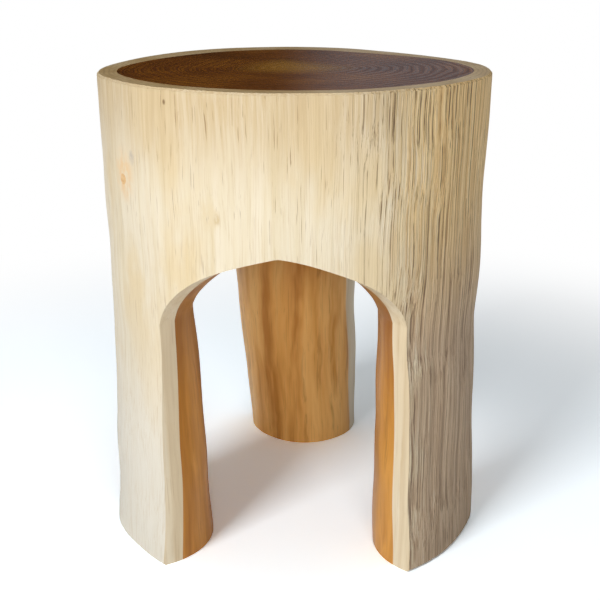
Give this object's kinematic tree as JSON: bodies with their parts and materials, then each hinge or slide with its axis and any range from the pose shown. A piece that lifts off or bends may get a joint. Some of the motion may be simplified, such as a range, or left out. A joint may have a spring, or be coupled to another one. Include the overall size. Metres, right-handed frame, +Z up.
{
  "type": "three-legged stool",
  "caption": "Low round stool carved from a log: polished dark heartwood seat, pale sapwood rim and sides, and arched openings between thick tapering legs.",
  "frame": {"origin": "on the floor, under the middle of the stool's bounding box", "axes": "+Z up from the floor to the seat, -Y out through the arch between the two near legs, +X to the right of that arch"},
  "size_m": [0.3667, 0.3722, 0.45],
  "materials": {
    "heartwood": "sanded and clear-coated; glossy on the seat's end grain, satin on the legs",
    "sapwood": "sanded smooth at the left and front, weathered and grooved at the right; satin",
    "knot": "sanded flush; satin"
  },
  "bodies": {
    "root": {"heartwood": "heartwood", "sapwood": "sapwood", "knot": "knot"}
  },
  "joints": []
}
